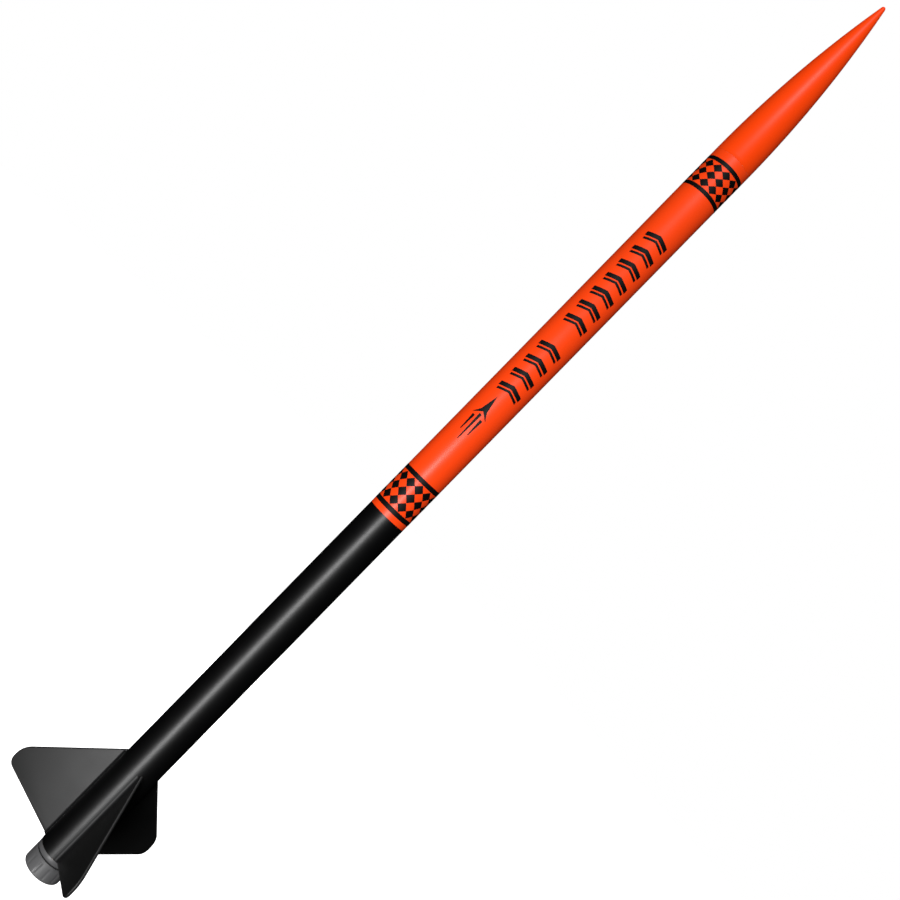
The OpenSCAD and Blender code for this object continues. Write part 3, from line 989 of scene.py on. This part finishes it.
# %% Row of marks
def mark_row_tree():
    """A mark on each point of a line down the tube, with one place left free."""
    tree, given, result = new_tree("mark_row", {
        "Mark": None, "Count": 1, "Gap Place": 99, "Pitch": MARK_PITCH,
        "Radius": FILM_R, "Angle": MARK_ANGLE, "Base": 0.0})
    down = math_node(tree, "MULTIPLY", given["Pitch"], -1.0)
    line = put(tree, "GeometryNodeMeshLine", {
        "Count": given["Count"], "Offset": vector_of(tree, 0.0, down, 0.0)})
    place = put(tree, "GeometryNodeInputIndex")
    kept = put(tree, "FunctionNodeCompare", data_type="INT", operation="NOT_EQUAL")
    tree.links.new(place.outputs[0], kept.inputs[2])
    tree.links.new(given["Gap Place"], kept.inputs[3])
    mark = put(tree, "GeometryNodeObjectInfo", {"Object": given["Mark"]})
    row = put(tree, "GeometryNodeInstanceOnPoints", {
        "Points": line.outputs[0], "Instance": mark.outputs["Geometry"], "Selection": kept.outputs[0]})
    solid = put(tree, "GeometryNodeRealizeInstances", {"Geometry": row.outputs[0]})
    tree.links.new(wrap_round(tree, solid.outputs[0], given), result[0])
    return tree


MARK_ROW = mark_row_tree()


def dart_outlines(half, length):
    """An arrow head over three speed lines that thin out towards the back."""
    head = [
        (-half, length * 0.52), (-half * 0.42, length * 0.66), (0, length),
        (half * 0.42, length * 0.66), (half, length * 0.52), (0, length * 0.64),
    ]
    outlines = [head]
    for shift, start, end in ((-0.56, 0.16, 0.50), (0.0, 0.0, 0.58), (0.56, 0.16, 0.50)):
        middle, bar = half * shift, half * 0.17
        outlines.append([
            (middle - bar * 0.3, length * start), (middle + bar * 0.3, length * start),
            (middle + bar, length * end), (middle - bar, length * end)])
    return outlines


def side_marks():
    """Eleven double chevrons in groups of seven and four, and the dart below them."""
    arm = MARK_LEN - FRONT_BAR - REAR_BAR - BAR_GAP
    chevrons = flat_shape("chevrons", [
        chevron(0, FRONT_BAR, arm, MARK_HALF),
        chevron(-FRONT_BAR - BAR_GAP, REAR_BAR, arm, MARK_HALF * 0.92)], 40)
    dart = flat_shape("dart", dart_outlines(DART_HALF, DART_LEN), 26)
    row = grown("side_marks", MARK_ROW, mark_black, {
        "Mark": chevrons, "Count": 12, "Gap Place": 7, "Base": high("marking_decal").z})
    arrow = grown("arrow", MARK_ROW, mark_black, {
        "Mark": dart, "Angle": DART_ANGLE, "Base": low("marking_decal").z})
    for flat in (chevrons, dart):
        bpy.data.objects.remove(flat)
    for film in (row, arrow):
        film_wall(film)
    join_into(row, [arrow])
    smooth_faces(row.data)
    stand_for(row, "airframe", "mark_film", "marking_decal")


side_marks()

# %% [markdown]
# ## Motor retainer
# The retainer is two moulded pieces. The collar is glued on the motor tube and has a coarse
# two-start thread; the cap screws over it and holds the motor in. A ridge of thread is a small
# round bead carried along a helix, so Geometry Nodes draw the helix and sweep the bead. The
# cap's ridges lie half way between the collar's, so that one can turn past the other.

# %% Thread
THREAD_LEAD, THREAD_TURNS, THREAD_STARTS = 4 * MM, 2.75, 2
BEAD_R, BEAD_RISE = 0.48 * MM, 0.17 * MM


def thread_tree():
    """A bead swept along a helix, once for each start."""
    tree, given, result = new_tree("thread_ridges", {
        "Radius": 0.017, "Lead": THREAD_LEAD, "Turns": THREAD_TURNS, "Starts": THREAD_STARTS,
        "First Angle": 0.0, "Bead": BEAD_R, "Base": 0.0})
    rise = math_node(tree, "MULTIPLY", given["Lead"], given["Turns"])
    helix = put(tree, "GeometryNodeCurveSpiral", {
        "Resolution": 72, "Rotations": given["Turns"], "Start Radius": given["Radius"],
        "End Radius": given["Radius"], "Height": rise})
    bead = put(tree, "GeometryNodeCurvePrimitiveCircle", {"Resolution": 8, "Radius": given["Bead"]})
    sweep = put(tree, "GeometryNodeCurveToMesh", {
        "Curve": helix.outputs[0], "Profile Curve": bead.outputs[0], "Fill Caps": True})
    starts = put(tree, "GeometryNodeMeshLine", {"Count": given["Starts"], "Offset": (0, 0, 0)})
    share = math_node(tree, "DIVIDE", 2 * math.pi, given["Starts"])
    number = put(tree, "GeometryNodeInputIndex")
    turned = math_node(tree, "MULTIPLY", number.outputs[0], share)
    angle = math_node(tree, "ADD", turned, given["First Angle"])
    ridges = put(tree, "GeometryNodeInstanceOnPoints", {
        "Points": starts.outputs[0], "Instance": sweep.outputs[0],
        "Rotation": vector_of(tree, 0.0, 0.0, angle)})
    solid = put(tree, "GeometryNodeRealizeInstances", {"Geometry": ridges.outputs[0]})
    lifted = put(tree, "GeometryNodeTransform", {
        "Geometry": solid.outputs[0], "Translation": vector_of(tree, 0.0, 0.0, given["Base"])})
    tree.links.new(lifted.outputs[0], result[0])
    return tree


THREAD = thread_tree()

# %% Collar
SLEEVE_IN_R = half_width("motor_tube") + 0.05 * MM
SLEEVE_R = SLEEVE_IN_R + 1.6 * MM
SLEEVE_Z = low("retainer_body").z
FLANGE_TOP = high("retainer_body").z
FLANGE_Z = AFT_Z - 5 * MM
FLANGE_R = half_width("retainer_body")
THREAD_Z = SLEEVE_Z + 1.2 * MM


def eased_corner(radius, height, reach_r, reach_z):
    """An eased corner: three points from its foot on one side to its foot on the other."""
    return [
        (radius - reach_r, height), (radius - reach_r * 0.3, height + reach_z * 0.3),
        (radius, height + reach_z),
    ]


def collar_outline():
    """The sleeve, a small fillet under the flange, and the flange with eased rims."""
    ease, fillet = 0.5 * MM, 0.6 * MM
    return [
        (SLEEVE_IN_R, SLEEVE_Z), (SLEEVE_R - ease, SLEEVE_Z), (SLEEVE_R, SLEEVE_Z + ease),
        (SLEEVE_R, FLANGE_Z - fillet), (SLEEVE_R + fillet * 0.3, FLANGE_Z - fillet * 0.3),
        (SLEEVE_R + fillet, FLANGE_Z), *eased_corner(FLANGE_R, FLANGE_Z, ease, ease),
        *reversed(eased_corner(FLANGE_R, FLANGE_TOP, ease, -ease)), (SLEEVE_IN_R, FLANGE_TOP),
    ]


collar = lathe("retainer_collar", collar_outline(), [collar_grey])
collar_thread = grown("collar_thread", THREAD, collar_grey, {
    "Radius": SLEEVE_R + BEAD_RISE, "Base": THREAD_Z})
join_into(collar, [collar_thread])
smooth_faces(collar.data)
stand_for(collar, "airframe", "retainer_plastic", "retainer_body")

# %% Cap
CAP_IN_R = SLEEVE_R + 0.9 * MM
CAP_R = half_width("retainer_cap")
CAP_TOP = high("retainer_cap").z
OPENING_R, LIP = 12.7 * MM, 2.2 * MM
GRIPS, GRIP_DEPTH = 12, 0.55 * MM
GRIP_LOW, GRIP_HIGH = 2.4 * MM, CAP_TOP - 3.4 * MM


def cap_outline():
    """Up the wall, over the chamfered front, down the bore, in along the lip and out again."""
    soft, chamfer, ease = 1.0 * MM, 1.4 * MM, 0.4 * MM
    return [
        *eased_corner(CAP_R, 0, soft, soft), (CAP_R, GRIP_LOW - 0.5 * MM), (CAP_R, GRIP_LOW),
        (CAP_R, GRIP_HIGH), (CAP_R, GRIP_HIGH + 0.5 * MM),
        (CAP_R, CAP_TOP - chamfer), (CAP_R - chamfer * 0.7, CAP_TOP), (CAP_IN_R + ease, CAP_TOP),
        (CAP_IN_R, CAP_TOP - ease), (CAP_IN_R, LIP), (OPENING_R, LIP), (OPENING_R, ease),
        (OPENING_R + ease, 0),
    ]


def grip_dent(radius, height, angle):
    """Shallow flutes round the wall, which stop short of both rims."""
    if radius < CAP_R or not GRIP_LOW <= height <= GRIP_HIGH:
        return radius
    return radius - GRIP_DEPTH * max(0.0, math.cos(angle * GRIPS)) ** 3


screw_cap = lathe("screw_cap", cap_outline(), [cap_grey], steps=288, bend=grip_dent)
cap_thread = grown("cap_thread", THREAD, cap_grey, {
    "Radius": CAP_IN_R - BEAD_RISE, "First Angle": math.pi / 2, "Base": THREAD_Z})
join_into(screw_cap, [cap_thread])
smooth_faces(screw_cap.data)
stand_for(screw_cap, "cap", "cap_plastic", "retainer_cap")

# %% [markdown]
# ## Motor
# A motor is a thick paper case with a clay nozzle pressed into one end. Only its aft end shows,
# through the cap, so the case gets a rounded rim and the nozzle its cone and throat.

# %% Motor case and nozzle
def case_outline():
    r, z0, z1 = half_width("motor_casing"), low("motor_casing").z, high("motor_casing").z
    bore, ease = half_width("motor_nozzle"), 0.4 * MM
    lower, upper = eased_corner(r, z0, ease, ease), eased_corner(r, z1, ease, -ease)
    return [(bore, z0), *lower, *reversed(upper), (bore, z1)]


def nozzle_outline():
    """A plug with a throat, and a bell-shaped mouth at its aft end."""
    r, z0, z1 = half_width("motor_nozzle"), low("motor_nozzle").z, high("motor_nozzle").z
    throat, mouth, steps = 3 * MM, 6.8 * MM, 10
    flare = []
    for i in range(steps + 1):
        t = i / steps
        flare.append((mouth + (throat - mouth) * math.sin(math.pi / 2 * t), z0 + (z1 - z0) * 0.75 * t))
    return [(r, z0), (r, z1), (throat, z1), *reversed(flare)]


motor_case = lathe("motor_case", case_outline(), [motor_wrap], steps=128)
stand_for(motor_case, "motor", "motor_paper", "motor_casing")
clay_nozzle = lathe("clay_nozzle", nozzle_outline(), [clay], steps=96)
stand_for(clay_nozzle, "motor", "clay", "motor_nozzle")

# %% [markdown]
# ## Recovery gear
# Under the nose lie a folded elastic cord, a rolled canopy with its lines wound round it, and a
# plug of tissue that keeps hot gas off them. The canopy is one real sheet: a disc of film folded
# to a strip and rolled up, so it is drawn as one long spiral strip of the same area.

# %% Rolled canopy
CANOPY_ACROSS = 0.457
CANOPY_AREA = math.pi / 4 * CANOPY_ACROSS**2
ROLL_LO, ROLL_HI = low("parachute_canopy").z, high("parachute_canopy").z
ROLL_R = half_width("parachute_canopy")


def rolled_canopy():
    """One spiral strip, rippled and drawn in a little towards both ends of the roll."""
    rng = random.Random(7)
    edge = 2.5 * MM
    tall = ROLL_HI - ROLL_LO - 2 * edge
    inner, outer = 2.2 * MM, ROLL_R - 0.25 * MM
    turns = CANOPY_AREA / tall / (math.pi * (inner + outer))
    per_turn, rows = 44, 22
    steps = int(turns * per_turn)
    folds = [(rng.randint(2, 6), rng.uniform(0, 6.28), rng.uniform(-2.5, 2.5)) for _ in range(7)]
    bm = bmesh.new()
    grid = []
    for j in range(rows + 1):
        v = j / rows
        away = abs(2 * v - 1)
        row = []
        for i in range(steps + 1):
            share = i / steps
            turn = 2 * math.pi * i / per_turn
            ripple = sum(math.sin(n * turn + start + lean * v) for n, start, lean in folds) / len(folds)
            r = (inner + (outer - inner) * share) * (1 - 0.07 * away**2 * (1 - ripple))
            ragged = edge * 0.8 * math.sin(3 * turn + 17 * share) * away**6
            z = ROLL_LO + edge + tall * v + ragged
            row.append(bm.verts.new((r * math.cos(turn), r * math.sin(turn), z)))
        grid.append(row)
    for below, above in zip(grid, grid[1:]):
        for i in range(steps):
            bm.faces.new((below[i], below[i + 1], above[i + 1], above[i]))
    made = finish_mesh(bm, "rolled_canopy", [canopy_film], sharp_degrees=60)
    print("canopy roll", round(turns, 1), "turns of film")
    return made


canopy = rolled_canopy()
stand_for(canopy, "airframe", "chute_film", "parachute_canopy")

# %% Tissue plug
def tissue_plug():
    """Crumpled tissue: a barrel pushed in along many creases that run every way."""
    rng = random.Random(11)
    r0, z0, z1 = half_width("recovery_wadding"), low("recovery_wadding").z, high("recovery_wadding").z
    creases = []
    for _ in range(26):
        line = Vector((rng.gauss(0, 1), rng.gauss(0, 1), rng.gauss(0, 1))).normalized()
        creases.append((line * rng.uniform(90, 380), rng.uniform(0, 6.28)))
    steps, rows, rings = 110, 34, 14
    outline = [(r0 * t / rings, z0) for t in range(rings)]
    outline += [(r0, z0 + (z1 - z0) * t / rows) for t in range(rows + 1)]
    outline += [(r0 * t / rings, z1) for t in range(rings - 1, -1, -1)]
    bm = bmesh.new()
    lathe_faces(bm, outline, steps, closed=False)
    middle = Vector((0, 0, (z0 + z1) / 2))
    for v in bm.verts:
        away = v.co - middle
        dent = sum(abs(math.sin(away.dot(line) + start)) for line, start in creases) / len(creases)
        v.co = middle + away * min(0.985, 1.24 - 0.5 * dent)
    return finish_mesh(bm, "tissue_plug", [tissue], sharp_degrees=75)


plug = tissue_plug()
stand_for(plug, "airframe", "wadding", "recovery_wadding")

# %% [markdown]
# ## Cords
# The elastic is a flat woven strap: out of its paper anchor, to and fro in flat folds, and round
# the loop under the nose. The shroud lines are wound round the canopy and run up to the same
# loop. Both are an outline carried along a route, with a UV map for the weave.

# %% An outline carried along a route
def carry(bm, route, sides, outline, perimeter):
    """Sweeps an outline along a route, with a UV map in metres. sides has its own x directions."""
    weave = bm.loops.layers.uv.get("weave") or bm.loops.layers.uv.new("weave")
    rings, lengths = [], [0.0]
    last = len(route) - 1
    for i, place in enumerate(route):
        tangent = (route[min(i + 1, last)] - route[max(i - 1, 0)]).normalized()
        flat = sides[i].cross(tangent).normalized()
        wide = tangent.cross(flat)
        rings.append([bm.verts.new(place + wide * x + flat * y) for x, y in outline(i / last)])
        if i:
            lengths.append(lengths[-1] + (place - route[i - 1]).length)
    count = len(rings[0])
    for i in range(last):
        for k in range(count):
            j = (k + 1) % count
            face = bm.faces.new((rings[i][k], rings[i][j], rings[i + 1][j], rings[i + 1][k]))
            spots = ((k, i), (k + 1, i), (k + 1, i + 1), (k, i + 1))
            for loop, (around, along) in zip(face.loops, spots):
                loop[weave].uv = (around / count * perimeter, lengths[along])
    bm.faces.new(rings[0])
    bm.faces.new(rings[-1])
    return lengths[-1]


def eased(points, per_span=6):
    """A smooth route through a short list of points."""
    ends = [points[0] * 2 - points[1], *points, points[-1] * 2 - points[-2]]
    route = []
    for a, b, c, d in zip(ends, ends[1:], ends[2:], ends[3:]):
        for i in range(per_span):
            t = i / per_span
            bend_2 = a * 2 - b * 5 + c * 4 - d
            bend_3 = b * 3 - a - c * 3 + d
            route.append(b + ((c - a) * t + bend_2 * t**2 + bend_3 * t**3) / 2)
    return route + [points[-1]]


# %% Elastic strap
TOWARDS_ANCHOR = math.radians(150)
ANCHOR_WAY = Vector((math.cos(TOWARDS_ANCHOR), math.sin(TOWARDS_ANCHOR), 0))
FOLD_WAY = -ANCHOR_WAY
STRAP_WAY = Vector((-ANCHOR_WAY.y, ANCHOR_WAY.x, 0))
STRAP_W, STRAP_T = 5.6 * MM, 0.9 * MM
WIRE_Z = LOOP_Z - LOOP_R
cord_lo, cord_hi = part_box("shock_cord")
STACK = (cord_lo + cord_hi) / 2
UP = Vector((0, 0, 1))


def fold_route():
    """Flat folds, stacked from the bottom of the cord's space to just under the loop."""
    folds, reach = 30, 8.6 * MM
    step = (LOOP_LOW - 7 * MM - cord_lo.z - 2 * MM) / folds
    centre = Vector((STACK.x, STACK.y, cord_lo.z + 2 * MM))
    route = []
    for i in range(folds):
        way = FOLD_WAY if i % 2 == 0 else -FOLD_WAY
        level = centre + UP * (step * i)
        route += [level + way * (reach * t) for t in (-1, -0.5, 0, 0.5, 1)]
        for k in range(1, 5):
            a = math.pi * k / 5 - math.pi / 2
            route.append(level + way * (reach + step / 2 * math.cos(a)) + UP * (step / 2 * (1 + math.sin(a))))
    return route, step


def round_wire(radius, turns, first):
    """A loop in the Y-Z plane, round the wire of the nose's own loop."""
    points = []
    for i in range(15):
        a = first + turns * 2 * math.pi * i / 14
        points.append(Vector((0, radius * math.cos(a), WIRE_Z + radius * math.sin(a))))
    return points


def strap_outline(share):
    """Flat along its way, and bunched up where it goes round the wire."""
    bunch = min(1.0, max(0.0, (share - 0.955) / 0.02))
    w = (STRAP_W + (2.6 * MM - STRAP_W) * bunch) / 2
    t = (STRAP_T + (1.3 * MM - STRAP_T) * bunch) / 2
    edge = [(w, -t * 0.6), (w, t * 0.6), (w * 0.9, t)]
    return [(-w, -t * 0.6), (-w * 0.9, -t), (w * 0.9, -t), *edge, (-w * 0.9, t), (-w, t * 0.6)]


def elastic_strap():
    """Out of the anchor, through the folds, round the wire and down to a short tail."""
    folds, step = fold_route()
    pocket = TUBE_R - TUBE_WALL - 1.35 * MM
    start = ANCHOR_WAY * pocket
    anchor_z = low("shock_cord_anchor").z
    turn_in = ANCHOR_WAY * (pocket - 3.5 * MM) + STRAP_WAY * 0.5 * STACK.dot(STRAP_WAY)
    lead_in = eased([
        start + UP * (anchor_z + 8 * MM), start + UP * (anchor_z + 1 * MM),
        turn_in + UP * (cord_lo.z + 1.5 * MM),
    ])
    ring = round_wire(LOOP_WIRE + 0.85 * MM, 0.82, math.radians(-128))
    below = eased([folds[-1], Vector((0, -2.4 * MM, LOOP_LOW - 4.2 * MM)), ring[0]])
    tail_end = Vector((-1 * MM, 3.4 * MM, LOOP_LOW - 6.0 * MM))
    tail = eased([ring[-1], Vector((0, 2.0 * MM, LOOP_LOW - 3.5 * MM)), tail_end])
    route = lead_in + folds + below[1:-1] + ring + tail[1:]
    along_wire = Vector((math.copysign(1, STRAP_WAY.x), 0, 0))
    sides = []
    for i in range(len(route)):
        twist = min(1.0, max(0.0, (i - len(lead_in) - len(folds) + 2) / 8))
        sides.append(STRAP_WAY.lerp(along_wire, twist).normalized())
    bm = bmesh.new()
    length = carry(bm, route, sides, strap_outline, 2 * STRAP_W)
    made = finish_mesh(bm, "elastic_strap", [elastic], sharp_degrees=45)
    print("elastic strap", round(length, 3), "m long, folds", round(step / MM, 2), "mm apart")
    return made


strap = elastic_strap()
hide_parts("shock_cord")
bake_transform(strap)

# %% Shroud lines
LINES, LINE_R, LINE_LEN = 6, 0.42 * MM, 0.457
WIND_R = ROLL_R + LINE_R + 0.05 * MM
WIND_TOP = ROLL_HI - (ROLL_HI - ROLL_LO) * 0.35
WIND_STEP = 2.1 * LINE_R
LINES_WAY = math.radians(240)


def line_route(k):
    """Wound round the roll beside the other lines, then up in a bundle to the loop."""
    wound = LINE_LEN - (LOOP_LOW - WIND_TOP)
    turns = wound / (2 * math.pi * WIND_R)
    points = []
    count = int(turns * 40)
    for i in range(count + 1):
        back_turn = turns * (1 - i / count)
        a = LINES_WAY - 2 * math.pi * back_turn
        z = WIND_TOP - WIND_STEP * (LINES * back_turn + k)
        points.append(Vector((WIND_R * math.cos(a), WIND_R * math.sin(a), z)))
    seat = 2 * math.pi * k / LINES
    spread = 0.95 * MM
    out = Vector((math.cos(LINES_WAY), math.sin(LINES_WAY), 0))
    side = Vector((-out.y, out.x, 0))
    bundle = out * (spread * math.cos(seat)) + side * (spread * math.sin(seat))
    rise = out * (WIND_R + 0.9 * MM)
    low_turn = points[-1]
    halfway = (low_turn + rise + bundle) / 2
    climb = eased([
        low_turn,
        Vector((halfway.x, halfway.y, WIND_TOP + 6 * MM)),
        rise + bundle + UP * (WIND_TOP + 14 * MM),
        rise + bundle + UP * (ROLL_HI + 2 * MM),
        out * (WIND_R * 0.6) + bundle + UP * (ROLL_HI + 40 * MM),
        Vector((3.2 * MM, -2.6 * MM, LOOP_LOW - 5 * MM)) + bundle * 0.7,
        Vector((3.2 * MM, -2.2 * MM, WIRE_Z - 1 * MM)) + bundle * 0.3,
    ], 8)
    return points + climb[1:]


def line_outline(share):
    return [(LINE_R * math.cos(math.pi * k / 3), LINE_R * math.sin(math.pi * k / 3)) for k in range(6)]


def knot_route():
    """Turns of line wound round the loop's wire, beside the strap."""
    turns, per_turn = 3, 14
    points = []
    for i in range(turns * per_turn + 1):
        around = 2 * math.pi * i / per_turn
        along = math.radians(-57) - 0.42 * i / (turns * per_turn)
        reach = LOOP_R + (LOOP_WIRE + LINE_R * 1.1) * math.cos(around)
        out_of_plane = (LOOP_WIRE + LINE_R * 1.1) * math.sin(around)
        points.append(Vector((reach * math.cos(along), out_of_plane, LOOP_Z + reach * math.sin(along))))
    return points


def steady_sides(route):
    """One direction for each point that is never along the route."""
    sides = []
    for i, place in enumerate(route):
        ahead = (route[min(i + 1, len(route) - 1)] - route[max(i - 1, 0)]).normalized()
        guess = Vector((0, 0, 1)) if abs(ahead.z) < 0.8 else Vector((0.8, 0.6, 0))
        side = (guess - ahead * guess.dot(ahead)).normalized()
        if sides:
            held = sides[-1] - ahead * sides[-1].dot(ahead)
            side = held.normalized() if held.length > 0.2 else side
        sides.append(side)
    return sides


def shroud_lines():
    """Six lines and the knot as one mesh."""
    bm = bmesh.new()
    lengths = []
    for route in [line_route(k) for k in range(LINES)] + [knot_route()]:
        lengths.append(carry(bm, route, steady_sides(route), line_outline, 4 * LINE_R))
    print("each shroud line is", round(lengths[0], 3), "m long")
    return finish_mesh(bm, "wound_lines", [thread], sharp_degrees=80)


lines = shroud_lines()
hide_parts("shroud_lines")
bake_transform(lines)

# %% Paper anchor
def curved_slab(bm, r0, r1, half, z0, z1, steps=18):
    """A slab that follows the tube's inner wall."""
    rows = []
    for i in range(steps + 1):
        a = TOWARDS_ANCHOR + half * (2 * i / steps - 1)
        c, s = math.cos(a), math.sin(a)
        rows.append([bm.verts.new((r * c, r * s, z)) for r, z in ((r0, z0), (r1, z0), (r1, z1), (r0, z1))])
    skin_rings(bm, rows)


def paper_anchor():
    """Three folds of paper, each a little shorter than the one under it."""
    inner, layer, folds = 18.62 * MM, 0.52 * MM, 3
    z0, z1 = low("shock_cord_anchor").z, high("shock_cord_anchor").z
    bm = bmesh.new()
    for k in range(folds):
        r0 = inner + layer * k
        under = folds - 1 - k
        short = 0.7 * MM * under
        half = math.radians(21.5 - 0.9 * under)
        curved_slab(bm, r0, r0 + layer * 0.88, half, z0 + short, z1 - short)
    made = finish_mesh(bm, "paper_anchor", [anchor_paper])
    stand_for(made, "airframe", "anchor_paper", "shock_cord_anchor")


paper_anchor()

# %% [markdown]
# ## Pieces kept from the frame
# The parts inside the motor mount are cut or pressed to plain shapes that the frame has already.
# They keep the frame's mesh, and only get their materials.

# %% Materials for the kept pieces
KEPT = {
    "tube_coupler": kraft, "motor_tube": kraft, "thrust_ring": kraft,
    "aft_centering_ring": board, "forward_centering_ring": board,
    "propellant_grain": grain_black, "ejection_charge": grain_black,
    "delay_grain": delay_grey, "motor_end_cap": anchor_paper,
}
for name, material in KEPT.items():
    nodes[name].data.materials.clear()
    nodes[name].data.materials.append(material)
print("kept pieces", sorted(KEPT))
